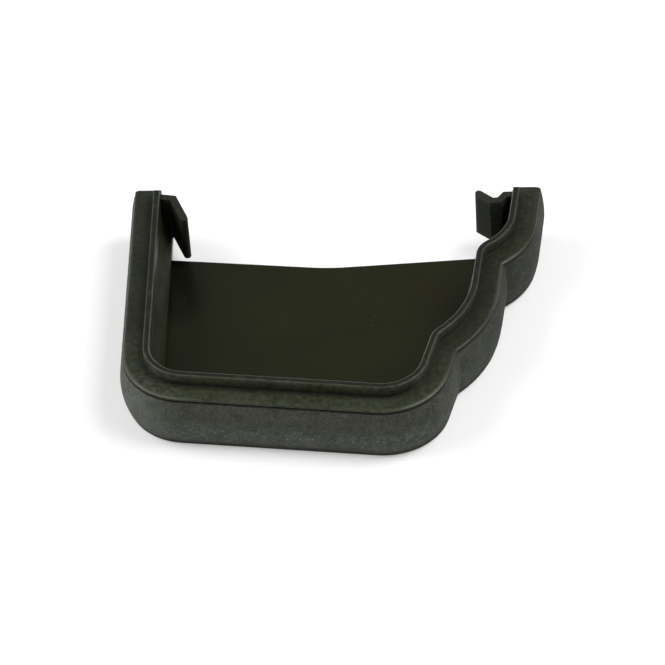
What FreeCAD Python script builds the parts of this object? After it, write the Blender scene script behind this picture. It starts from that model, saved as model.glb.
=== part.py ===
"""External end cap for an ogee rain gutter, lying on its closed end with the mouth up.

X runs from the back wall to the moulded front, Y from the gutter's bottom to its top,
and Z from the outer face of the end plate to the mouth that takes the gutter.
"""
import FreeCAD
import Part
import Sketcher
import math
import os

from FreeCAD import Vector

os.makedirs("parts", exist_ok=True)
doc = FreeCAD.newDocument("gutter_end_cap")

# Driving dimensions, in millimetres and degrees
DIMENSIONS = {
    # outline of the foot, where the outer wall meets the table
    "bottom_fall": 7.0,
    "corner_radius": 18.5,
    "roll_radius": 19.0,
    "lower_lean": 75.0,
    "lower_notch_inset": 26.5,
    "lower_notch_up": 15.5,
    "swell_radius": 39.0,
    "swell_lean": 83.0,
    "upper_notch_inset": 12.2,
    "upper_notch_up": 52.7,
    "crest_radius": 23.4,
    "crest_lean": 83.5,
    "front_reach": 124.9,
    "stock_rise": 22.0,
    # top edges of the walls, the collar and the end plate
    "back_height": 89.9,
    "front_height": 86.6,
    "collar_drop": 3.9,
    "end_block": 8.0,
    "top_corner_round": 3.3,
    "plate_back_height": 76.8,
    "plate_dip_height": 70.2,
    "plate_front_height": 73.9,
    "plate_dip_along": 59.0,
    "plate_dip_radius": 60.0,
    # levels above the table
    "plate_thickness": 2.5,
    "foot_round": 0.7,
    "crown_level": 9.2,
    "groove_level": 18.5,
    "groove_width": 0.4,
    "ledge_level": 19.5,
    "mouth_level": 23.4,
    "rim_thickness": 2.2,
    # section across the wall, measured along the outline's normal
    "rim_out": 1.05,
    "crown_out": 2.3,
    "crown_back_shift": 0.25,
    "crown_margin": 0.1,
    "groove_depth": 0.4,
    "bead_width": 0.85,
    "wall_thickness": 2.3,
    "ledge_width": 6.25,
    "collar_thickness": 2.05,
    "collar_round": 0.5,
    # the rubber seal behind the collar
    "seal_nose_level": 8.0,
    "seal_reach": 2.4,
    "seal_swell": 0.4,
    "seal_clearance": 0.15,
    # the two snap clips
    "clip_level": 5.7,
    "clip_width": 16.0,
    "clip_thickness": 2.3,
    "clip_root": 1.6,
    "back_stub_length": 5.0,
    "back_stub_fall": 11.0,
    "back_leg_length": 10.8,
    "back_leg_lean": 22.0,
    "front_clip_drop": 0.5,
    "front_stub_length": 3.0,
    "front_step_length": 3.2,
    "front_step_lean": 36.0,
    "front_flat_length": 1.4,
    "front_wing_length": 4.8,
    "front_wing_rise": 41.0,
}

sheet = doc.addObject("Spreadsheet::Sheet", "dimensions")
for row, (alias, value) in enumerate(DIMENSIONS.items(), start=1):
    sheet.set("A%d" % row, alias.replace("_", " "))
    sheet.set("B%d" % row, repr(value))
    sheet.setAlias("B%d" % row, alias)
doc.recompute()


def size(alias):
    """A driving dimension, read back from the sheet."""
    return float(sheet.get(alias))


def unit(degrees):
    """The unit vector at an angle from +X."""
    return Vector(math.cos(math.radians(degrees)), math.sin(math.radians(degrees)), 0)


def outward(degrees):
    """The outward normal of an outline that runs at this angle, bottom to front."""
    return Vector(math.sin(math.radians(degrees)), -math.cos(math.radians(degrees)), 0)


def crossing(start, start_angle, other, other_angle):
    """Where two lines meet, each given by a point and an angle."""
    along, across = unit(start_angle), outward(other_angle)
    return start + along * ((other - start).dot(across) / along.dot(across))


def line(start, end):
    return Part.LineSegment(start, end)


def arc_from(start, start_angle, end_angle, radius):
    """An arc that turns left from one direction of travel to another."""
    centre = start - outward(start_angle) * radius
    circle = Part.Circle(centre, Vector(0, 0, 1), radius)
    first, last = math.radians(start_angle - 90), math.radians(end_angle - 90)
    return Part.ArcOfCircle(circle, first, last)


def arc_end(start, start_angle, end_angle, radius):
    return start - outward(start_angle) * radius + outward(end_angle) * radius


# Foot outline: back, corner, bottom, lower roll, swell and crest, closed above the part
STOCK_HEIGHT = "(dimensions.back_height + dimensions.stock_rise)"
stock_height = size("back_height") + size("stock_rise")
bottom_angle = -size("bottom_fall")
corner_run = size("corner_radius") * math.tan(math.radians(45 + bottom_angle / 2))
corner_top = Vector(0, corner_run, 0)
corner_foot = unit(bottom_angle) * corner_run
lower_notch = Vector(size("front_reach") - size("lower_notch_inset"), size("lower_notch_up"), 0)
upper_notch = Vector(size("front_reach") - size("upper_notch_inset"), size("upper_notch_up"), 0)
roll_turn = size("lower_lean") - bottom_angle
roll_run = size("roll_radius") * math.tan(math.radians(roll_turn / 2))
roll_corner = crossing(Vector(0, 0, 0), bottom_angle, lower_notch, size("lower_lean"))
roll_start = roll_corner - unit(bottom_angle) * roll_run
roll_end = roll_corner + unit(size("lower_lean")) * roll_run


def start_angle(notch, passed, lean, radius):
    """Direction in which an arc leaves its notch to end tangent to the line through passed."""
    gap = (passed - notch).dot(outward(lean))
    return lean - math.degrees(math.acos(1 - gap / radius))


swell_start = start_angle(lower_notch, upper_notch, size("swell_lean"), size("swell_radius"))
swell_end = arc_end(lower_notch, swell_start, size("swell_lean"), size("swell_radius"))
front_top = Vector(size("front_reach"), size("front_height"), 0)
crest_start = start_angle(upper_notch, front_top, size("crest_lean"), size("crest_radius"))
crest_end = arc_end(upper_notch, crest_start, size("crest_lean"), size("crest_radius"))
stock_front = crossing(front_top, size("crest_lean"), Vector(0, stock_height, 0), 0)
stock_back = Vector(0, stock_height, 0)

foot = doc.addObject("Sketcher::SketchObject", "foot_outline")
foot.addGeometry([
    line(stock_back, corner_top),
    arc_from(corner_top, -90, bottom_angle, size("corner_radius")),
    line(corner_foot, roll_start),
    arc_from(roll_start, bottom_angle, size("lower_lean"), size("roll_radius")),
    line(roll_end, lower_notch),
    arc_from(lower_notch, swell_start, size("swell_lean"), size("swell_radius")),
    line(swell_end, upper_notch),
    arc_from(upper_notch, crest_start, size("crest_lean"), size("crest_radius")),
    line(crest_end, stock_front),
    line(stock_front, stock_back),
])
FRONT_TOP = foot.addGeometry(Part.Point(front_top), True)
BACK, CORNER, BOTTOM, ROLL, LOWER, SWELL, UPPER, CREST, FRONT, CLOSING = range(10)
START, END = range(1, 3)
foot.addConstraint([
    Sketcher.Constraint("Tangent", BACK, END, CORNER, START),
    Sketcher.Constraint("Tangent", CORNER, END, BOTTOM, START),
    Sketcher.Constraint("Tangent", BOTTOM, END, ROLL, START),
    Sketcher.Constraint("Tangent", ROLL, END, LOWER, START),
    Sketcher.Constraint("Coincident", LOWER, END, SWELL, START),
    Sketcher.Constraint("Tangent", SWELL, END, UPPER, START),
    Sketcher.Constraint("Coincident", UPPER, END, CREST, START),
    Sketcher.Constraint("Tangent", CREST, END, FRONT, START),
    Sketcher.Constraint("Coincident", FRONT, END, CLOSING, START),
    Sketcher.Constraint("Coincident", CLOSING, END, BACK, START),
    Sketcher.Constraint("Vertical", BACK),
    Sketcher.Constraint("Horizontal", CLOSING),
    Sketcher.Constraint("PointOnObject", BACK, START, -2),
    Sketcher.Constraint("PointOnObject", -1, 1, BOTTOM),
    Sketcher.Constraint("PointOnObject", FRONT_TOP, START, FRONT),
])


def bound_constraint(sketch, kind, arguments, expression):
    """A dimension of a sketch that follows the sheet."""
    index = sketch.addConstraint(Sketcher.Constraint(kind, *arguments))
    sketch.setExpression("Constraints[%d]" % index, expression)


def bound_lean(sketch, edge, alias, sign=1):
    """The angle of a line from +X, held to a sheet value."""
    angle = math.radians(sign * size(alias))
    factor = "" if sign > 0 else "-"
    bound_constraint(sketch, "Angle", (edge, angle), "%sdimensions.%s * 1 deg" % (factor, alias))


for edge, alias in ((CORNER, "corner_radius"), (ROLL, "roll_radius"),
                    (SWELL, "swell_radius"), (CREST, "crest_radius")):
    bound_constraint(foot, "Radius", (edge, size(alias)), "dimensions." + alias)
bound_lean(foot, BOTTOM, "bottom_fall", -1)
bound_lean(foot, LOWER, "lower_lean")
bound_lean(foot, UPPER, "swell_lean")
bound_lean(foot, FRONT, "crest_lean")
for edge, notch in ((LOWER, "lower_notch"), (UPPER, "upper_notch")):
    bound_constraint(foot, "DistanceX", (edge, END, size("front_reach") - size(notch + "_inset")),
                     "dimensions.front_reach - dimensions.%s_inset" % notch)
    bound_constraint(foot, "DistanceY", (edge, END, size(notch + "_up")),
                     "dimensions.%s_up" % notch)
bound_constraint(foot, "DistanceY", (CLOSING, END, stock_height), STOCK_HEIGHT)
bound_constraint(foot, "DistanceX", (FRONT_TOP, START, size("front_reach")),
                 "dimensions.front_reach")
bound_constraint(foot, "DistanceY", (FRONT_TOP, START, size("front_height")),
                 "dimensions.front_height")
doc.recompute()


def outline(name, offset, level, sharp=False):
    """A copy of the foot outline, moved out by offset and up to level."""
    copy = doc.addObject("Part::Offset2D", name)
    copy.Source = foot
    copy.Join = "Intersection" if sharp else "Arc"
    copy.setExpression("Value", offset)
    copy.setExpression("Placement.Base.z", level)
    return copy


def loft(name, sections, ruled):
    shape = doc.addObject("Part::Loft", name)
    shape.Sections = sections
    shape.Solid = True
    shape.Ruled = ruled
    return shape


def extrusion(name, base, height):
    """A solid from a flat outline, upwards from where the outline lies."""
    shape = doc.addObject("Part::Extrusion", name)
    shape.Base = base
    shape.DirMode = "Custom"
    shape.Dir = Vector(0, 0, 1)
    shape.Solid = True
    shape.setExpression("LengthFwd", height)
    return shape


def fuse(name, shapes):
    result = doc.addObject("Part::MultiFuse", name)
    result.Shapes = shapes
    return result


def cut(name, base, tool):
    result = doc.addObject("Part::Cut", name)
    result.Base = base
    result.Tool = tool
    return result


# Outer wall: a small rounded foot, a crowned textured band, a shadow groove and the rim bead
RIM = "dimensions.rim_out"
BEAD_FOOT = "dimensions.groove_level + dimensions.groove_width"
BEAD_HEIGHT = "(dimensions.ledge_level - (%s))" % BEAD_FOOT
edge_outline = outline("edge_outline", "dimensions.foot_round", "dimensions.foot_round", True)
crown_outline = outline("crown_outline", "dimensions.crown_out", "dimensions.crown_level", True)
crown_outline.setExpression("Placement.Base.x", "-dimensions.crown_back_shift")
rim_outline = outline("rim_outline", RIM, "dimensions.groove_level", True)
groove_outline = outline("groove_outline", RIM + " - dimensions.groove_depth",
                         "dimensions.groove_level", True)
bead_sections = []
for turn in (0, 35, 65, 90):
    bead_sections.append(outline("bead_%d" % turn,
                                 "%s - dimensions.bead_width * (1 - cos(%d deg))" % (RIM, turn),
                                 "%s + %s * sin(%d deg)" % (BEAD_FOOT, BEAD_HEIGHT, turn), True))
foot_band = loft("foot_band", [foot, edge_outline], True)
wall_band = loft("wall_band", [edge_outline, crown_outline, rim_outline], False)
groove_band = extrusion("groove_band", groove_outline, "dimensions.groove_width")
bead_band = loft("bead_band", bead_sections, True)

# Collar outlines, inside the ledge
COLLAR_OUTER = "dimensions.rim_out - dimensions.ledge_width"
COLLAR_INNER = COLLAR_OUTER + " - dimensions.collar_thickness"
collar_outline = outline("collar_outline", COLLAR_OUTER, "dimensions.groove_level")
collar_band = extrusion("collar_band", collar_outline,
                        "dimensions.mouth_level - dimensions.groove_level")
cavity_outline = outline("cavity_outline", COLLAR_INNER, "dimensions.plate_thickness")
cavity = extrusion("cavity", cavity_outline, "dimensions.mouth_level")


def half_space(name, back, front):
    """A block above the line between a height at the back and a height at the front."""
    block = doc.addObject("Part::Box", name)
    slope = "atan((%s - (%s)) / dimensions.front_reach)" % (front, back)
    block.setExpression("Placement.Rotation.Angle", slope)
    block.setExpression("Placement.Base.x", "-%s * cos(%s)" % (STOCK_HEIGHT, slope))
    block.setExpression("Placement.Base.y", "%s - %s * sin(%s)" % (back, STOCK_HEIGHT, slope))
    block.setExpression("Placement.Base.z", "-dimensions.plate_thickness")
    block.setExpression("Length", "4 * " + STOCK_HEIGHT)
    block.setExpression("Width", STOCK_HEIGHT)
    block.setExpression("Height", "2 * dimensions.mouth_level")
    return block


def below_top(name, base, drop):
    """What is left of a shape below the walls' top edge, lowered by a drop."""
    top = half_space(name + "_trim", "dimensions.back_height - (%s)" % drop,
                     "dimensions.front_height - (%s)" % drop)
    return cut(name, base, top)


# The walls' open ends: cut at the top edge, with rounded outer corners
wall_stock = fuse("wall_stock", [foot_band, wall_band, groove_band, bead_band])
envelope_outline = outline("envelope_outline",
                           "dimensions.crown_out + dimensions.crown_back_shift"
                           " + dimensions.crown_margin", "-dimensions.plate_thickness", True)
envelope_stock = extrusion("envelope_stock", envelope_outline, "2 * dimensions.mouth_level")
envelope = below_top("envelope", envelope_stock, "0")
doc.recompute()


def top_corners(shape):
    """Indices of the upright edges at the open ends of a shape."""
    found = []
    for index, edge in enumerate(shape.Edges, start=1):
        box = edge.BoundBox
        if box.ZLength > size("mouth_level") and box.YMin > size("plate_back_height"):
            found.append(index)
    return found


rounded_envelope = doc.addObject("Part::Fillet", "rounded_envelope")
rounded_envelope.Base = envelope
corner_round = size("top_corner_round")
rounded_envelope.Edges = [(index, corner_round, corner_round)
                          for index in top_corners(envelope.Shape)]
walls = doc.addObject("Part::Common", "walls")
walls.Base = wall_stock
walls.Tool = rounded_envelope
collar_stock = below_top("collar_stock", collar_band, "dimensions.collar_drop")
collar = cut("collar", collar_stock, cavity)
doc.recompute()


def edges_at(shape, level):
    """Indices of the edges that lie flat at a level."""
    found = []
    for index, edge in enumerate(shape.Edges, start=1):
        box = edge.BoundBox
        if abs(box.ZMin - level) + abs(box.ZMax - level) < Part.Precision.confusion() * 10:
            found.append(index)
    return found


rounded_collar = doc.addObject("Part::Fillet", "rounded_collar")
rounded_collar.Base = collar
collar_round = size("collar_round")
rounded_collar.Edges = [(index, collar_round, collar_round)
                        for index in edges_at(collar.Shape, size("mouth_level"))]
shell_stock = fuse("shell_stock", [walls, rounded_collar])
hollow_shell = cut("hollow_shell", shell_stock, cavity)

# Channel behind the collar, which holds the seal and stops at the solid end blocks
channel_outline = outline("channel_outline", "dimensions.rim_out - dimensions.wall_thickness",
                          "dimensions.plate_thickness")
CHANNEL_TOP = "dimensions.ledge_level - dimensions.rim_thickness"
channel_stock = extrusion("channel_stock", channel_outline,
                          CHANNEL_TOP + " - dimensions.plate_thickness")
channel = below_top("channel", channel_stock, "dimensions.end_block")
grooved_shell = cut("grooved_shell", hollow_shell, channel)

# The plate's top edge: two straight falls to a rounded dip, and open above it
SEAL_NOSE = COLLAR_INNER + " - dimensions.seal_reach"
window_outline = outline("window_outline", SEAL_NOSE, "-dimensions.plate_thickness")
window_stock = extrusion("window_stock", window_outline, "3 * dimensions.plate_thickness")
dip = Vector(size("plate_dip_along"), size("plate_dip_height"), 0)
edge_back = Vector(0, size("plate_back_height"), 0)
edge_front = Vector(size("front_reach"), size("plate_front_height"), 0)
fall_angle = math.degrees(math.atan2(dip.y - edge_back.y, dip.x - edge_back.x))
rise_angle = math.degrees(math.atan2(edge_front.y - dip.y, edge_front.x - dip.x))
dip_radius = size("plate_dip_radius")
dip_run = dip_radius * math.tan(math.radians((rise_angle - fall_angle) / 2))
dip_start = dip - unit(fall_angle) * dip_run
dip_end = dip + unit(rise_angle) * dip_run
over_back = Vector(edge_back.x, stock_height, 0)
over_front = Vector(edge_front.x, stock_height, 0)

plate_edge = doc.addObject("Sketcher::SketchObject", "plate_edge")
plate_edge.addGeometry([
    line(edge_back, dip_start),
    arc_from(dip_start, fall_angle, rise_angle, dip_radius),
    line(dip_end, edge_front),
    line(edge_front, over_front),
    line(over_front, over_back),
    line(over_back, edge_back),
])
DIP = plate_edge.addGeometry(Part.Point(dip), True)
plate_edge.addConstraint([
    Sketcher.Constraint("Tangent", 0, END, 1, START),
    Sketcher.Constraint("Tangent", 1, END, 2, START),
    Sketcher.Constraint("Coincident", 2, END, 3, START),
    Sketcher.Constraint("Coincident", 3, END, 4, START),
    Sketcher.Constraint("Coincident", 4, END, 5, START),
    Sketcher.Constraint("Coincident", 5, END, 0, START),
    Sketcher.Constraint("Vertical", 3),
    Sketcher.Constraint("Horizontal", 4),
    Sketcher.Constraint("PointOnObject", 0, START, -2),
    Sketcher.Constraint("PointOnObject", 4, END, -2),
    Sketcher.Constraint("PointOnObject", DIP, START, 0),
    Sketcher.Constraint("PointOnObject", DIP, START, 2),
])
bound_constraint(plate_edge, "Radius", (1, dip_radius), "dimensions.plate_dip_radius")
for edge, point, axis, alias in ((0, START, "DistanceY", "plate_back_height"),
                                 (DIP, START, "DistanceY", "plate_dip_height"),
                                 (DIP, START, "DistanceX", "plate_dip_along"),
                                 (2, END, "DistanceY", "plate_front_height"),
                                 (2, END, "DistanceX", "front_reach")):
    bound_constraint(plate_edge, axis, (edge, point, size(alias)), "dimensions." + alias)
bound_constraint(plate_edge, "DistanceY", (4, START, stock_height), STOCK_HEIGHT)
plate_edge.setExpression("Placement.Base.z", "-dimensions.plate_thickness")
above_plate = extrusion("above_plate", plate_edge, "3 * dimensions.plate_thickness")
window = doc.addObject("Part::Common", "window")
window.Base = window_stock
window.Tool = above_plate
open_shell = cut("open_shell", grooved_shell, window)
doc.recompute()


# Snap clips: bent strips that stand free of the plate, rooted in the end blocks
def back_wall_along():
    """X of the collar's inner face at the back wall."""
    return size("ledge_width") + size("collar_thickness") - size("rim_out")


def collar_top(along):
    """Height of the collar's end at this X."""
    slope = (size("front_height") - size("back_height")) / size("front_reach")
    return size("back_height") + slope * along - size("collar_drop")


def ribbon(name, root, root_bindings, runs, side):
    """A bent strip of even thickness with a round tip.

    A run gives a length, its expression, the direction of travel in degrees and its
    expression. The strip lies on one side of the edge that the runs follow.
    """
    thick = size("clip_thickness")
    angles = [run[2] for run in runs]
    shift = [outward(angle) * thick * side for angle in angles]
    edge_points = [root]
    for run in runs:
        edge_points.append(edge_points[-1] + unit(run[2]) * run[0])
    inner_points = [root + shift[0]]
    for index in range(1, len(runs)):
        bend = edge_points[index]
        inner_points.append(crossing(bend + shift[index - 1], angles[index - 1],
                                     bend + shift[index], angles[index]))
    inner_points.append(edge_points[-1] + shift[-1])

    sketch = doc.addObject("Sketcher::SketchObject", name)
    count = len(runs)
    for points in (edge_points, inner_points):
        for index in range(count):
            sketch.addGeometry(line(points[index], points[index + 1]))
    middle = (edge_points[-1] + inner_points[-1]) * 0.5 + unit(angles[-1]) * (thick / 2)
    tip = sketch.addGeometry(Part.Arc(edge_points[-1], middle, inner_points[-1]))
    base = sketch.addGeometry(line(inner_points[0], root))
    for first in (0, count):
        for index in range(first, first + count - 1):
            sketch.addConstraint(Sketcher.Constraint("Coincident", index, END, index + 1, START))
    tip_start, tip_end = (START, END) if side < 0 else (END, START)
    sketch.addConstraint([
        Sketcher.Constraint("Tangent", count - 1, END, tip, tip_start),
        Sketcher.Constraint("Tangent", 2 * count - 1, END, tip, tip_end),
        Sketcher.Constraint("Coincident", base, START, count, START),
        Sketcher.Constraint("Coincident", base, END, 0, START),
        Sketcher.Constraint("Perpendicular", base, 0),
    ])
    for index, (length, length_from, angle, angle_from) in enumerate(runs):
        bound_constraint(sketch, "Distance", (index, length), length_from)
        bound_constraint(sketch, "Angle", (index, math.radians(angle)), angle_from)
        if index:
            sketch.addConstraint(Sketcher.Constraint("Parallel", index, count + index))
            bound_constraint(sketch, "Distance", (count + index, END, index, thick),
                             "dimensions.clip_thickness")
    sketch.addConstraint(Sketcher.Constraint("Parallel", 0, count))
    bound_constraint(sketch, "Distance", (base, thick), "dimensions.clip_thickness")
    for kind, value, expression in (("DistanceX", root.x, root_bindings[0]),
                                    ("DistanceY", root.y, root_bindings[1])):
        bound_constraint(sketch, kind, (0, START, value), expression)
    sketch.setExpression("Placement.Base.z", "dimensions.clip_level")
    return sketch


TOP_SLOPE = "(dimensions.front_height - dimensions.back_height) / dimensions.front_reach"
back_root_x = back_wall_along() - size("clip_root")
BACK_ROOT_X = "-(%s) - dimensions.clip_root" % COLLAR_INNER
BACK_ROOT_Y = ("dimensions.back_height - dimensions.collar_drop + %s * (%s)"
               % (TOP_SLOPE, BACK_ROOT_X))
back_clip_outline = ribbon(
    "back_clip_outline",
    Vector(back_root_x, collar_top(back_root_x), 0),
    (BACK_ROOT_X, BACK_ROOT_Y),
    [(size("clip_root") + size("back_stub_length"),
      "dimensions.clip_root + dimensions.back_stub_length",
      -size("back_stub_fall"), "-dimensions.back_stub_fall * 1 deg"),
     (size("back_leg_length"), "dimensions.back_leg_length",
      size("back_leg_lean") - 90, "(dimensions.back_leg_lean - 90) * 1 deg")],
    side=1)

collar_offset = -back_wall_along()
front_inner = front_top + outward(size("crest_lean")) * collar_offset
front_face = crossing(front_inner, size("crest_lean"), Vector(0, collar_top(0), 0),
                      math.degrees(math.atan2(collar_top(1) - collar_top(0), 1)))
front_root = Vector(front_face.x + size("clip_root"),
                    front_face.y - size("front_clip_drop"), 0)
LEAN = "(dimensions.crest_lean * 1 deg)"
FRONT_INNER_X = "(dimensions.front_reach + (%s) * sin(%s))" % (COLLAR_INNER, LEAN)
FRONT_INNER_Y = "(dimensions.front_height - (%s) * cos(%s))" % (COLLAR_INNER, LEAN)
FRONT_DROP = ("(%s - (dimensions.back_height - dimensions.collar_drop + %s * %s))"
              % (FRONT_INNER_Y, TOP_SLOPE, FRONT_INNER_X))
FRONT_RUN = "%s / (sin(%s) - %s * cos(%s))" % (FRONT_DROP, LEAN, TOP_SLOPE, LEAN)
FRONT_ROOT_X = "%s - %s * cos(%s) + dimensions.clip_root" % (FRONT_INNER_X, FRONT_RUN, LEAN)
FRONT_ROOT_Y = ("%s - %s * sin(%s) - dimensions.front_clip_drop"
                % (FRONT_INNER_Y, FRONT_RUN, LEAN))
front_clip_outline = ribbon(
    "front_clip_outline",
    front_root,
    (FRONT_ROOT_X, FRONT_ROOT_Y),
    [(size("clip_root") + size("front_stub_length"),
      "dimensions.clip_root + dimensions.front_stub_length", 180.0, "180 deg"),
     (size("front_step_length"), "dimensions.front_step_length",
      -90 - size("front_step_lean"), "(-90 - dimensions.front_step_lean) * 1 deg"),
     (size("front_flat_length"), "dimensions.front_flat_length", 180.0, "180 deg"),
     (size("front_wing_length"), "dimensions.front_wing_length",
      180 - size("front_wing_rise"), "(180 - dimensions.front_wing_rise) * 1 deg")],
    side=-1)
back_clip = extrusion("back_clip", back_clip_outline, "dimensions.clip_width")
front_clip = extrusion("front_clip", front_clip_outline, "dimensions.clip_width")
cap_body = fuse("cap_body", [open_shell, back_clip, front_clip])

# Rubber seal: fills the channel, flush with the collar at its top and swelling inwards below
seal_outline = outline("seal_outline",
                       "dimensions.rim_out - dimensions.wall_thickness"
                       " - dimensions.seal_clearance", "dimensions.plate_thickness")
SEAL_LEVEL = "%s - dimensions.seal_clearance" % CHANNEL_TOP
seal_stock = extrusion("seal_stock", seal_outline,
                       SEAL_LEVEL + " - dimensions.plate_thickness")
SEAL_BULGE = "(dimensions.seal_reach + dimensions.seal_swell)"
SEAL_RISE = "(%s - dimensions.seal_nose_level)" % SEAL_LEVEL
bore_sections = [outline("seal_bore_foot", SEAL_NOSE, "dimensions.plate_thickness")]
for turn in (0, 60, 120, 180):
    bore_sections.append(outline("seal_bore_%d" % turn,
                                 "%s - %s * (1 + cos(%d deg)) / 2" % (COLLAR_INNER, SEAL_BULGE, turn),
                                 "dimensions.seal_nose_level + %s * %d / 180" % (SEAL_RISE, turn)))
seal_bore = loft("seal_bore", bore_sections, True)
seal_ring = cut("seal_ring", seal_stock, seal_bore)
STUB_FALL = "(dimensions.back_stub_fall * 1 deg)"
BACK_UNDER = ("dimensions.collar_drop + dimensions.clip_thickness / cos(%s)"
              " + (dimensions.clip_root + %s) * tan(%s)" % (STUB_FALL, SEAL_BULGE, STUB_FALL))
FRONT_UNDER = ("dimensions.collar_drop + dimensions.front_clip_drop"
               " + dimensions.front_step_length + dimensions.clip_thickness")
seal_trim = half_space("seal_trim",
                       "dimensions.back_height - max(dimensions.end_block; %s)"
                       " - dimensions.seal_clearance" % BACK_UNDER,
                       "dimensions.front_height - max(dimensions.end_block; %s)"
                       " - dimensions.seal_clearance" % FRONT_UNDER)
gutter_seal = cut("gutter_seal", seal_ring, seal_trim)
doc.recompute()

# The origin is under the middle of the cap, on the table
box = cap_body.Shape.optimalBoundingBox(False)
for part in (cap_body, gutter_seal):
    part.Label = part.Name
    part.Placement.Base = Vector(-box.Center.x, -box.Center.y, 0)
doc.recompute()

for item in doc.Objects:
    if "Invalid" in item.State or "Error" in item.State:
        raise RuntimeError("%s did not build: %s" % (item.Name, item.State))
for part in (cap_body, gutter_seal):
    if part.Shape.isNull() or not part.Shape.isValid():
        raise RuntimeError("%s has no valid shape" % part.Label)
for part in (cap_body, gutter_seal):
    part.Shape.exportStep("parts/%s.step" % part.Label)
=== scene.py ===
import math
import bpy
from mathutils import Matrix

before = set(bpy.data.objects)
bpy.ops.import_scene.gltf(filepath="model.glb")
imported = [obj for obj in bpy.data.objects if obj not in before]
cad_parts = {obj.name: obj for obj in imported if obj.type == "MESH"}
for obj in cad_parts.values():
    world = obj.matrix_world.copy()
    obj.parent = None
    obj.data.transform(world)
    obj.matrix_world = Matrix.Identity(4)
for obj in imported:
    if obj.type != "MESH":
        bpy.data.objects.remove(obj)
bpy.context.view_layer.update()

from types import SimpleNamespace

import bpy
from mathutils import Matrix, Vector

MM = 0.001

# Camera: a long lens, 44 degrees above the table, a little left of square and turned 4 degrees
LENS_PX, IMAGE_PX, SENSOR_MM = 4000.0, 665.0, 36.0
PX_PER_MM = 3.25
ELEVATION, YAW, ROLL = math.radians(44.0), math.radians(-3.65), math.radians(4.0)
AIM_MM = (-1.530, 4.823, 0.0)
NEAR_CLIP, FAR_CLIP = 0.05, 20.0


def place_camera():
    distance = LENS_PX / PX_PER_MM * MM
    aim = Vector(AIM_MM) * MM
    forward = Vector((math.sin(YAW) * math.cos(ELEVATION), math.cos(YAW) * math.cos(ELEVATION),
                      -math.sin(ELEVATION)))
    level = Vector((math.cos(YAW), -math.sin(YAW), 0.0))
    upright = level.cross(forward)
    right = level * math.cos(ROLL) - upright * math.sin(ROLL)
    up = level * math.sin(ROLL) + upright * math.cos(ROLL)
    data = bpy.data.cameras.new("camera")
    data.sensor_width = SENSOR_MM
    data.lens = LENS_PX / IMAGE_PX * SENSOR_MM
    data.clip_start, data.clip_end = NEAR_CLIP, FAR_CLIP
    camera = bpy.data.objects.new("camera", data)
    bpy.context.scene.collection.objects.link(camera)
    turn = Matrix((right, up, -forward)).transposed().to_4x4()
    camera.matrix_world = Matrix.Translation(aim - forward * distance) @ turn
    bpy.context.scene.camera = camera


place_camera()


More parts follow.
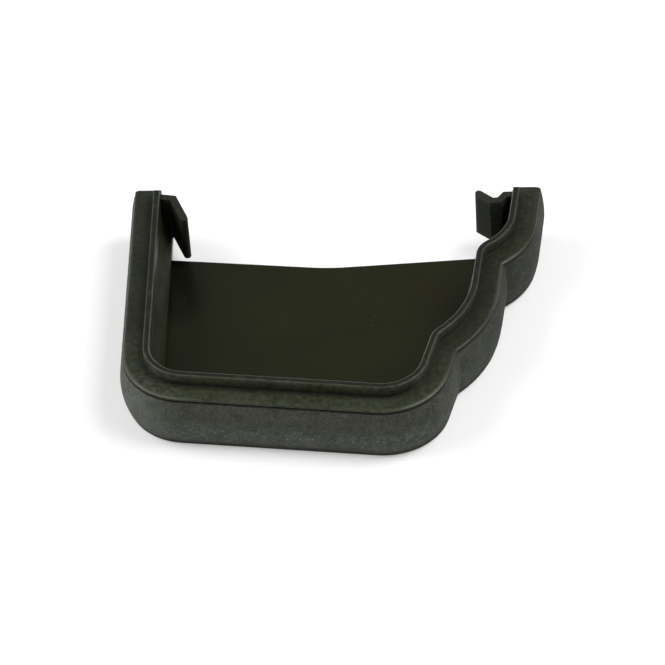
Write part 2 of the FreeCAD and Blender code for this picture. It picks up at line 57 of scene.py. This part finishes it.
# Node helpers
class Graph:
    """Short names for building the node tree of a material or a world."""

    def __init__(self, owner):
        self.owner = owner
        owner.use_nodes = True
        self.tree = owner.node_tree
        self.tree.nodes.clear()

    def add(self, kind, inputs=None, **settings):
        """A node with its settings made and its inputs set or linked."""
        node = self.tree.nodes.new(kind)
        for key, value in settings.items():
            setattr(node, key, value)
        for key, value in (inputs or {}).items():
            if isinstance(value, bpy.types.NodeSocket):
                self.tree.links.new(value, node.inputs[key])
            else:
                node.inputs[key].default_value = value
        return node

    def math(self, operation, first, second=0.0, third=0.0, clamp=False):
        return self.add("ShaderNodeMath", {0: first, 1: second, 2: third},
                        operation=operation, use_clamp=clamp).outputs[0]

    def vector(self, operation, first, second):
        """A vector from two vectors."""
        return self.add("ShaderNodeVectorMath", {0: first, 1: second},
                        operation=operation).outputs[0]

    def measure(self, operation, first, second):
        """A number from two vectors, such as their distance."""
        return self.add("ShaderNodeVectorMath", {0: first, 1: second},
                        operation=operation).outputs["Value"]

    def times(self, *values):
        product = values[0]
        for value in values[1:]:
            product = self.math("MULTIPLY", product, value)
        return product

    def either(self, first, second):
        return self.math("MAXIMUM", first, second)

    def rest(self, value):
        """What a mask leaves over."""
        return self.math("SUBTRACT", 1.0, value)

    def above(self, value, limit):
        return self.math("GREATER_THAN", value, limit)

    def below(self, value, limit):
        return self.math("LESS_THAN", value, limit)

    def ramp(self, value, low, high, to_low, to_high):
        """Smoothly maps low..high to to_low..to_high."""
        node = self.add("ShaderNodeMapRange",
                        {"Value": value, "From Min": low, "From Max": high,
                         "To Min": to_low, "To Max": to_high}, interpolation_type="SMOOTHSTEP")
        return node.outputs["Result"]

    def rise(self, value, low, high, top=1.0):
        """A mask that grows from 0 at low to top at high."""
        return self.ramp(value, low, high, 0.0, top)

    def fall(self, value, low, high, top=1.0):
        """A mask that shrinks from top at low to 0 at high."""
        return self.ramp(value, low, high, top, 0.0)

    def noise(self, vector, scale, detail=2.0, roughness=0.5):
        return self.add("ShaderNodeTexNoise", {"Vector": vector, "Scale": scale,
                                               "Detail": detail, "Roughness": roughness}).outputs[0]

    def mix(self, factor, first, second):
        """The first colour, and the second where the factor is 1."""
        node = self.add("ShaderNodeMix", {0: factor}, data_type="RGBA")
        for index, value in ((6, first), (7, second)):
            if isinstance(value, bpy.types.NodeSocket):
                self.tree.links.new(value, node.inputs[index])
            else:
                node.inputs[index].default_value = (*value, 1.0)
        return node.outputs[2]

    def mix_value(self, factor, first, second):
        return self.add("ShaderNodeMix", {0: factor, 2: first, 3: second}).outputs[0]

    def scaled(self, value, factor):
        """A colour or a place times a number."""
        return self.vector("MULTIPLY", value, (factor, factor, factor))

    def shade(self, colour, mask, factor):
        """A colour made lighter or darker where the mask is 1."""
        return self.mix(mask, colour, self.scaled(colour, factor))

    def position(self):
        return self.add("ShaderNodeTexCoord").outputs["Object"]

    def axes(self, vector):
        return self.add("ShaderNodeSeparateXYZ", {0: vector}).outputs

    def surface(self, **inputs):
        shader = self.add("ShaderNodeBsdfPrincipled",
                          {key.replace("_", " "): value for key, value in inputs.items()})
        self.add("ShaderNodeOutputMaterial", {"Surface": shader.outputs[0]})
        return self.owner


# Noises: cells in a metre, detail and roughness, from the spark texture up to the clouds
GRAIN = (2600.0, 3.0, 0.6)
FINE = (1900.0, 1.0, 0.4)
COARSE = (1300.0, 3.0, 0.6)
DUST = (700.0, 1.0, 0.3)
MOTTLE = (620.0, 4.0, 0.6)
RIPPLE = (320.0, 2.0, 0.5)
BLOTCH = (260.0, 3.0, 0.6)
STAIN = (210.0, 2.0, 0.5)
PATCH = (120.0, 2.0, 0.5)
CLOUD = (55.0, 3.0, 0.55)
BROWN = (38.0, 2.0, 0.5)
RUBBER_GRAIN, RUBBER_CLOUD = (1800.0, 2.0, 0.5), (140.0, 3.0, 0.6)
SPECKS_A_METRE = 800.0

# Colours, as linear red, green and blue, where a pair runs from dark to pale
OLIVE = ((0.0245, 0.0280, 0.0142), (0.0315, 0.0350, 0.0190))
OLIVE_PATCH = (0.0440, 0.0470, 0.0330)
GREEN_STAIN = (0.0270, 0.0420, 0.0310)
DEEP_STAIN = (0.0190, 0.0290, 0.0200)
CORNER_HIGHLIGHT = (0.0620, 0.0650, 0.0500)
CLIP_FACE_SHADE = (0.0140, 0.0182, 0.0108)
CLIP_TOP_SHADE = (0.0100, 0.0125, 0.0065)
CLIP_EDGE_HIGHLIGHT = (0.0480, 0.0540, 0.0420)
PARTING = ((0.0050, 0.0060, 0.0040), (0.0340, 0.0390, 0.0280))
COLLAR_TOP_SHADE = ((0.0028, 0.0040, 0.0004), (0.0080, 0.0092, 0.0034))
COLLAR_SMUDGE = (0.0330, 0.0360, 0.0260)
COLLAR_EDGE_HIGHLIGHT = (0.150, 0.155, 0.125)
CORNER_SHADE = (0.0085, 0.0095, 0.0060)
BEAD_HIGHLIGHT = (0.115, 0.122, 0.095)
PLATE = ((0.0116, 0.0134, 0.0043), (0.0138, 0.0156, 0.0053))
PLATE_BROWN = (0.0150, 0.0132, 0.0044)
PLATE_DUST = (0.10, 0.10, 0.075)
WALL = ((0.0400, 0.0450, 0.0312), (0.0785, 0.0855, 0.0650))
WALL_PALE = (0.0800, 0.0870, 0.0765)
WALL_CORNER_HIGHLIGHT = (0.1300, 0.1390, 0.1190)
WALL_SHEEN = (0.1300, 0.1380, 0.1260)
WALL_FINE_GLINT = (0.20, 0.215, 0.180)
WALL_GLINT = (0.30, 0.31, 0.29)
FOOT_SHADE = (0.004, 0.0045, 0.003)
GROOVE_SHADE = (0.0075, 0.0078, 0.0025)
GATE_SHADING = ((0.0040, 0.0045, 0.0030), (0.090, 0.095, 0.070))
RUBBER = ((0.0145, 0.0162, 0.0066), (0.0225, 0.0243, 0.0108))

# Levels above the table in mm, where a pair is a short fade from the one to the other
FOOT_SHADE_FADE = (1.5, 3.2)
PLATE_FADE = (2.6, 3.4)
CLIP_FOOT, CLIP_HEAD = 5.2, 21.95
SPECK_BAND_LOW, SPECK_BAND_HIGH = (1.5, 5.0), (8.5, 13.0)
PALE_LOW_FADE = (4.0, 14.0)
PARTING_LEVELS, PARTING_HALF = (12.05, 12.5), 0.22
GROOVE_LOW, GROOVE_HIGH = (18.05, 18.2), (18.68, 18.78)
WALL_TOP_FADE = (18.3, 18.55)
BEAD_FADE, BEAD_END = (18.75, 18.95), 19.6
COLLAR_FOOT_FADE = (19.7, 20.4)
WING_BORDER_FADE = (20.9, 21.3)
COLLAR_EDGE_FADE, COLLAR_TOP_FADE = (22.85, 23.05), (23.30, 23.39)

# Places across the cap in mm, x to the moulded front and y to the open top, with pairs as above
MOUTH_MIDDLE = (-12.0, 12.0, 0.0)
GATE_MARK = (-63.3, 23.0, 19.0)
WALL_SIDE, WALL_END = 57.0, 32.0
CLIP_SIDE, CLIP_START = 53.2, 28.0
CLIP_FACE_FADE, WING_EDGE_FADE = (47.4, 48.0), (43.8, 44.3)
BACK_RUN_X, BACK_RUN_Y = (-56.0, -52.0), (-22.0, -8.0)
LEDGE_CORNER_X, LEDGE_CORNER_Y = (-52.0, -40.0), (-34.0, -24.0)
WALL_CORNER_X, WALL_CORNER_Y = (-60.0, -44.0), (-32.0, -14.0)
LEDGE_FRONT_X = (26.0, 40.0)
BACK_ROLL_X, BACK_ROLL_Y = (-48.0, -38.0), (-28.0, -18.0)
FRONT_ROLL_START, FRONT_ROLL_END = (15.0, 24.0), (31.0, 37.0)
SWELL_ROLL_START, SWELL_ROLL_END = (46.0, 50.0), (54.0, 59.0)
BROWN_X = (5.0, 30.0)
CLIP_SHADE_X, CLIP_SHADE_Y = (-50.0, -38.0), (4.0, 16.0)
WALL_ROLL_X, WALL_SWELL_X = (14.0, 34.0), (40.0, 50.0)
SPECKS_END_X = (25.0, 40.0)

# Reach of the painted corner shade, of the bends that place the painted bead highlight and of the
# softened edges, and the bumps' heights, in mm
SHADE_REACH, BEND_RADIUS, EDGE_RADIUS = 3.2, 1.5, 0.28
SATIN_HEIGHT, SPARK_HEIGHT, RUBBER_HEIGHT = 0.05, 0.16, 0.05

# How steep an upright face is, from 0 when level to 1, and how much the others face up
UPRIGHT_WALL, UPRIGHT_COLLAR = (0.35, 0.7), (0.6, 0.9)
ROUNDED_LOW, ROUNDED_HIGH = (0.20, 0.45), (0.90, 0.985)
BEAD_UP, CLIP_TOP_UP, FLAT_UP = (0.35, 0.60), (0.6, 0.9), (0.985, 0.998)


def find_places(g):
    """The moulding's coordinates in mm, and masks that are 1 on the face that each one names."""
    at = SimpleNamespace(where=g.position())
    at.point = g.scaled(at.where, 1.0 / MM)
    at.x, at.y, at.z = g.axes(at.point)[:3]
    at.facing = g.add("ShaderNodeNewGeometry").outputs["Normal"]
    at.up = g.axes(at.facing)[2]
    at.steep = g.math("SUBTRACT", 1.0, g.math("ABSOLUTE", at.up), clamp=True)
    side = g.math("ABSOLUTE", at.x)

    # the outer wall stands under the shadow groove, away from the clips
    at.outside = g.either(g.above(side, WALL_SIDE), g.below(at.y, WALL_END))
    at.wall = g.times(g.fall(at.z, *WALL_TOP_FADE), at.outside, g.rise(at.steep, *UPRIGHT_WALL))
    at.plate = g.fall(at.z, *PLATE_FADE)

    # the two clips stand inside the mouth's top corners
    at.clips = g.times(g.below(side, CLIP_SIDE), g.above(at.y, CLIP_START),
                       g.above(at.z, CLIP_FOOT), g.below(at.z, CLIP_HEAD))
    at.clip_faces = g.times(at.clips, g.fall(at.x, *CLIP_FACE_FADE))
    at.front_wing = g.times(at.clip_faces, g.above(at.x, 0.0))

    # the collar's sides, its flat top and the rounded edges beside the top
    at.collar_side = g.times(g.rise(at.z, *COLLAR_FOOT_FADE), g.rise(at.steep, *UPRIGHT_COLLAR))
    at.collar_top = g.times(g.rise(at.z, *COLLAR_TOP_FADE), g.rise(at.up, *FLAT_UP))
    at.rim = g.times(g.rise(at.z, *COLLAR_EDGE_FADE), g.rise(at.up, *ROUNDED_LOW),
                     g.fall(at.up, *ROUNDED_HIGH))

    # inner faces look toward the mouth's middle
    from_middle = g.vector("SUBTRACT", at.point, MOUTH_MIDDLE)
    outward = g.math("SUBTRACT", g.measure("DOT_PRODUCT", at.facing, from_middle),
                     g.times(at.up, at.z))
    at.inner = g.below(outward, 0.0)

    # the run along the back wall
    at.back_run = g.times(g.fall(at.x, *BACK_RUN_X), g.rise(at.y, *BACK_RUN_Y))

    # hollow is low in corners and creases, where painted shade goes, and bend is above 0 near
    # edges, where the painted bead highlight goes
    at.hollow = g.add("ShaderNodeAmbientOcclusion", {"Distance": SHADE_REACH * MM},
                      samples=6).outputs["AO"]
    rounded = g.add("ShaderNodeBevel", {"Radius": BEND_RADIUS * MM}, samples=8).outputs[0]
    at.bend = g.math("SUBTRACT", 1.0, g.measure("DOT_PRODUCT", rounded, at.facing), clamp=True)
    return at


def make_noises(g, where):
    """The noises that more than one face uses."""
    return SimpleNamespace(grain=g.noise(where, *GRAIN), coarse=g.noise(where, *COARSE),
                           mottle=g.noise(where, *MOTTLE), blotch=g.noise(where, *BLOTCH),
                           patch=g.noise(where, *PATCH), cloud=g.noise(where, *CLOUD))


def ledge_colour(g, at, noise):
    """Mottled olive with green stains, painted shade along the back run and toward the front, and a
    painted highlight round the back corner.
    """
    colour = g.mix(g.rise(noise.cloud, 0.35, 0.65), *OLIVE)
    colour = g.mix(g.rise(noise.mottle, 0.34, 0.68), g.scaled(colour, 0.62), g.scaled(colour, 1.42))
    colour = g.mix(g.times(g.rise(noise.patch, 0.52, 0.72), 0.35), colour, OLIVE_PATCH)
    colour = g.mix(g.times(g.rise(g.noise(at.where, *STAIN), 0.56, 0.68), 0.35), colour,
                   GREEN_STAIN)
    # painted shade: the ledge is darkened along the back run, where the collar keeps light off it
    colour = g.shade(colour, at.back_run, 0.55)
    colour = g.mix(g.times(at.back_run, g.rise(noise.blotch, 0.50, 0.62, 0.55)), colour, DEEP_STAIN)
    # painted shade: the ledge is darkened toward the moulded front
    colour = g.shade(colour, g.rise(at.x, *LEDGE_FRONT_X), 0.68)
    # painted highlight: the ledge is lightened round the back corner, where the bead catches the
    # light
    back_corner = g.times(g.fall(at.x, *LEDGE_CORNER_X), g.fall(at.y, *LEDGE_CORNER_Y))
    bloom = g.times(back_corner, g.ramp(noise.mottle, 0.42, 0.62, 0.05, 0.52))
    return g.mix(bloom, colour, CORNER_HIGHLIGHT)


def add_clips(g, at, colour):
    """Clips with painted shade on their faces and tops, a dark parting line on the front wing with
    a painted highlight above it, and painted highlights along the wing's top and left edges.
    """
    # painted shade: the clips' faces are darker than the rest of the same moulding
    colour = g.mix(at.clip_faces, colour, CLIP_FACE_SHADE)
    # a dark parting line, with a painted highlight on the step's lit edge just above it
    for level, line_colour in zip(PARTING_LEVELS, PARTING):
        line = g.times(at.front_wing, g.math("COMPARE", at.z, level, PARTING_HALF))
        colour = g.mix(g.times(line, 0.7), colour, line_colour)
    # painted highlight along the front wing's top and left edges
    edge_highlight = g.either(g.rise(at.z, *WING_BORDER_FADE, 0.6), g.fall(at.x, *WING_EDGE_FADE, 0.4))
    colour = g.mix(g.times(at.front_wing, edge_highlight), colour, CLIP_EDGE_HIGHLIGHT)
    # painted shade: the clips' upward faces are darkened
    return g.mix(g.times(at.clips, g.rise(at.up, *CLIP_TOP_UP, 0.8)), colour, CLIP_TOP_SHADE)


def add_collar(g, at, noise, colour):
    """Painted light on the collar: lighter sides, a smudged top darkened as painted shade, and
    painted highlights on the rounded edges, brighter along the inner one.
    """
    # painted light: the collar's upright sides are lightened
    colour = g.shade(colour, at.collar_side, 1.45)
    # painted shade: the collar's flat top is darkened, with paler smudges
    top = g.mix(g.rise(noise.mottle, 0.36, 0.66), *COLLAR_TOP_SHADE)
    top = g.mix(g.rise(noise.blotch, 0.56, 0.70, 0.45), top, COLLAR_SMUDGE)
    colour = g.mix(at.collar_top, colour, top)
    # painted highlights on the rounded edges beside the top, strongest on the inner edge and weaker
    # along the back run
    rim = g.times(at.rim, g.ramp(noise.patch, 0.36, 0.60, 0.5, 1.0),
                  g.rest(g.times(at.back_run, 0.55)))
    inner_highlight = g.times(rim, at.inner, 0.52)
    outer_highlight = g.times(rim, g.rest(at.inner), 0.14)
    return g.mix(g.math("ADD", inner_highlight, outer_highlight), colour, COLLAR_EDGE_HIGHLIGHT)


def add_bead(g, at, colour):
    """A painted highlight on the bead's crest: strong round the rolls, faint along the front."""
    back_roll = g.times(g.fall(at.x, *BACK_ROLL_X), g.fall(at.y, *BACK_ROLL_Y))
    front_roll = g.times(g.rise(at.x, *FRONT_ROLL_START), g.fall(at.x, *FRONT_ROLL_END))
    swell_roll = g.times(g.rise(at.x, *SWELL_ROLL_START), g.fall(at.x, *SWELL_ROLL_END, 0.65))
    rolls = g.either(back_roll, g.math("ADD", front_roll, swell_roll))
    crest = g.times(g.rise(at.z, *BEAD_FADE), g.below(at.z, BEAD_END),
                    g.rise(at.bend, 0.002, 0.026), g.rise(at.up, *BEAD_UP),
                    g.rise(at.hollow, 0.80, 0.95), g.math("MULTIPLY_ADD", rolls, 0.62, 0.08))
    return g.mix(crest, colour, BEAD_HIGHLIGHT)


def plate_colour(g, at, noise):
    """The plate: brownish to the front, with painted shade beside the back clip, a little dusty."""
    colour = g.mix(g.rise(noise.cloud, 0.3, 0.7), *PLATE)
    brown = g.times(g.rise(g.noise(at.where, *BROWN), 0.42, 0.60), g.rise(at.x, *BROWN_X, 0.6))
    colour = g.mix(brown, colour, PLATE_BROWN)
    # painted shade: the plate is darkened beside the back clip and the left wall
    clip_shade = g.times(g.fall(at.x, *CLIP_SHADE_X), g.rise(at.y, *CLIP_SHADE_Y))
    colour = g.shade(colour, clip_shade, 0.50)
    dust = g.rise(g.noise(at.where, *DUST), 0.765, 0.81)
    return g.mix(g.times(dust, 0.20), colour, PLATE_DUST)


def wall_colour(g, at, noise):
    """The textured wall: plainer above, paler towards the foot, with painted glints and sheen in
    the lower band, a painted highlight round the back corner, and painted shade toward the front
    and along the foot.
    """
    band = g.times(g.rise(at.z, *SPECK_BAND_LOW), g.fall(at.z, *SPECK_BAND_HIGH))
    corner = g.times(g.fall(at.x, *WALL_CORNER_X), g.fall(at.y, *WALL_CORNER_Y))
    # paler towards the foot, and lighter round the back corner as a painted highlight
    pale_low_and_corner = g.either(g.fall(at.z, *PALE_LOW_FADE), g.times(corner, 0.9))
    colour = g.mix(g.rise(noise.coarse, 0.30, 0.74), *WALL)
    colour = g.mix(g.times(pale_low_and_corner, 0.45), colour, WALL_PALE)
    # painted highlight round the back corner, where the spark texture catches the side light
    colour = g.mix(g.times(corner, 0.50), colour, WALL_CORNER_HIGHLIGHT)
    colour = g.mix(g.rise(noise.blotch, 0.36, 0.64), g.scaled(colour, 0.82), g.scaled(colour, 1.14))
    # painted shade: the wall is darkened toward the moulded front, more past the swell
    colour = g.shade(colour, g.rise(at.x, *WALL_ROLL_X), 0.84)
    colour = g.shade(colour, g.rise(at.x, *WALL_SWELL_X), 0.66)

    # painted glints: fine pale flecks on the spark texture, more where the wall is paler
    fine = g.times(g.rise(g.noise(at.where, *FINE), 0.60, 0.74),
                   g.math("MULTIPLY_ADD", pale_low_and_corner, 0.25, 0.14))
    colour = g.mix(fine, colour, WALL_FINE_GLINT)
    spread = g.either(g.times(band, g.rise(noise.patch, 0.26, 0.46)), g.times(corner, 0.75))
    spread = g.times(spread, g.fall(at.x, *SPECKS_END_X))
    # painted sheen: a pale haze where the glints gather
    sheen_haze = g.times(spread, g.rise(noise.mottle, 0.42, 0.62))
    colour = g.mix(g.times(sheen_haze, 0.40), colour, WALL_SHEEN)
    # painted glints: pale round specks where the spark texture catches the light, in the band and
    # round the back corner
    cells = g.add("ShaderNodeTexVoronoi", {"Vector": at.where, "Scale": SPECKS_A_METRE}).outputs
    glints = g.times(g.fall(cells["Distance"], 0.06, 0.34),
                     g.rise(g.axes(cells["Color"])[0], 0.20, 0.70), spread)
    colour = g.mix(g.times(glints, 0.60), colour, WALL_GLINT)
    # painted shade along the foot, next to the table
    return g.mix(g.fall(at.z, *FOOT_SHADE_FADE, 0.75), colour, FOOT_SHADE)


def add_gate_mark(g, at, colour):
    """A small nub on the back rim, drawn as a dot of painted shade in a ring of painted highlight.
    """
    away = g.measure("DISTANCE", at.point, GATE_MARK)
    ring = g.times(g.rise(away, 0.45, 0.60), g.fall(away, 0.75, 1.0))
    dot_shade, ring_highlight = GATE_SHADING
    colour = g.mix(g.times(ring, 0.45), colour, ring_highlight)
    return g.mix(g.fall(away, 0.40, 0.58, 0.9), colour, dot_shade)


def gloss(g, at, noise):
    """Roughness: a glossier plate, a dull wall, dull clips and a dull collar top."""
    sheen = g.rise(noise.coarse, 0.35, 0.65)
    rough = g.mix_value(at.plate, g.math("MULTIPLY_ADD", sheen, 0.08, 0.38),
                        g.math("MULTIPLY_ADD", sheen, 0.04, 0.23))
    for mask, dull in ((at.wall, 0.85), (at.clips, 0.78), (at.collar_top, 0.75)):
        rough = g.mix_value(mask, rough, dull)
    return rough


def relief(g, at, noise):
    """Softened edges, a faint ripple everywhere and the spark texture on the wall."""
    edges = g.add("ShaderNodeBevel", {"Radius": EDGE_RADIUS * MM}, samples=6).outputs[0]
    ripple = g.math("ADD", g.noise(at.where, *RIPPLE), g.times(noise.grain, 0.3))
    satin = g.add("ShaderNodeBump", {"Strength": 0.14, "Distance": SATIN_HEIGHT * MM,
                                     "Height": ripple, "Normal": edges}).outputs[0]
    sparks = g.math("ADD", g.times(noise.grain, 0.5), noise.coarse)
    return g.add("ShaderNodeBump", {"Strength": g.times(at.wall, 0.9),
                                    "Distance": SPARK_HEIGHT * MM, "Height": sparks,
                                    "Normal": satin}).outputs[0]


def moulding():
    """Olive-black plastic: spark texture outside, satin ledge and collar, glossier plate."""
    g = Graph(bpy.data.materials.new("moulded_plastic"))
    at = find_places(g)
    noise = make_noises(g, at.where)
    colour = ledge_colour(g, at, noise)
    colour = add_clips(g, at, colour)
    colour = add_collar(g, at, noise, colour)
    # painted shade in the corners and creases, from the ambient occlusion
    colour = g.mix(g.fall(at.hollow, 0.50, 0.93, 0.72), colour, CORNER_SHADE)
    colour = add_bead(g, at, colour)
    colour = g.mix(at.plate, colour, plate_colour(g, at, noise))
    colour = g.mix(at.wall, colour, wall_colour(g, at, noise))
    groove = g.times(g.rise(at.z, *GROOVE_LOW), g.fall(at.z, *GROOVE_HIGH), at.outside, 0.85)
    colour = g.mix(groove, colour, GROOVE_SHADE)
    colour = add_gate_mark(g, at, colour)
    return g.surface(Base_Color=colour, Roughness=gloss(g, at, noise), Normal=relief(g, at, noise),
                     Specular_IOR_Level=0.3)


def rubber():
    """Dull sealing rubber with a faint olive bloom."""
    g = Graph(bpy.data.materials.new("sealing_rubber"))
    where = g.position()
    cloud = g.noise(where, *RUBBER_CLOUD)
    grain = g.noise(where, *RUBBER_GRAIN)
    bump = g.add("ShaderNodeBump", {"Strength": 0.25, "Distance": RUBBER_HEIGHT * MM,
                                    "Height": grain}).outputs[0]
    return g.surface(Base_Color=g.mix(g.rise(cloud, 0.35, 0.7), *RUBBER), Roughness=0.7,
                     Normal=bump, Specular_IOR_Level=0.2)


def dress(node, material):
    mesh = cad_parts[node].data
    if not mesh.materials:
        mesh.materials.append(material)
    for index in range(len(mesh.materials)):
        mesh.materials[index] = material


dress("cap_body", moulding())
dress("gutter_seal", rubber())

# Table: white paper that glows a little to the camera and in reflections, so that it stays
# white round the soft shadow
TABLE_SIZE, TABLE_DROP = 6.0, 0.1 * MM
PAPER, GLOW = 0.74, 0.34


def table():
    g = Graph(bpy.data.materials.new("white_table"))
    ray = g.add("ShaderNodeLightPath").outputs
    seen = g.either(g.either(ray["Is Camera Ray"], ray["Is Glossy Ray"]),
                    ray["Is Transmission Ray"])
    paper = g.add("ShaderNodeBsdfDiffuse", {"Color": (PAPER, PAPER, PAPER, 1.0)})
    glow = g.add("ShaderNodeEmission", {"Color": (1.0, 1.0, 1.0, 1.0),
                                        "Strength": g.times(seen, GLOW)})
    both = g.add("ShaderNodeAddShader", {0: paper.outputs[0], 1: glow.outputs[0]})
    g.add("ShaderNodeOutputMaterial", {"Surface": both.outputs[0]})
    bpy.ops.mesh.primitive_plane_add(size=TABLE_SIZE, location=(0.0, 0.0, -TABLE_DROP))
    floor = bpy.context.object
    floor.name = "table"
    floor.data.materials.append(g.owner)


table()

# Lamps: name, place, target, width and height, watts
LAMPS = (("left_box", (-0.95, 0.02, 0.90), (0.0, 0.0, 0.0), (0.9, 0.7), 10.0),
         ("right_box", (0.50, 0.02, 0.76), (0.0, 0.0, 0.0), (0.6, 0.5), 6.0),
         ("front", (0.05, -1.20, 0.75), (0.0, 0.0, 0.01), (0.9, 0.4), 0.8),
         ("back", (-0.1, 1.40, 0.20), (0.0, 0.0, 0.01), (1.8, 0.14), 3.0))


def area_light(name, place, target, size, watts):
    data = bpy.data.lights.new(name, "AREA")
    data.shape = "RECTANGLE"
    data.size, data.size_y = size
    data.energy = watts
    lamp = bpy.data.objects.new(name, data)
    lamp.location = place
    aim = Vector(target) - Vector(place)
    lamp.rotation_euler = aim.to_track_quat("-Z", "Y").to_euler()
    bpy.context.scene.collection.objects.link(lamp)


for lamp_row in LAMPS:
    area_light(*lamp_row)

# Sky: its strength low and high, the heights where it changes, and its strength to the camera
HORIZON, CEILING = 0.30, 0.25
HORIZON_HEIGHT, CEILING_HEIGHT = 0.15, 0.5
SEEN_SKY = 1.0


def studio():
    """A dim sky, a little brighter near the horizon, and white to the camera."""
    g = Graph(bpy.data.worlds.new("studio"))
    height = g.axes(g.add("ShaderNodeTexCoord").outputs["Generated"])[2]
    light = g.ramp(height, HORIZON_HEIGHT, CEILING_HEIGHT, HORIZON, CEILING)
    ray = g.add("ShaderNodeLightPath").outputs
    sky = g.add("ShaderNodeBackground",
                {"Strength": g.mix_value(ray["Is Camera Ray"], light, SEEN_SKY)})
    g.add("ShaderNodeOutputWorld", {"Surface": sky.outputs[0]})
    bpy.context.scene.world = g.owner


studio()
bpy.context.scene.view_settings.view_transform = "Standard"
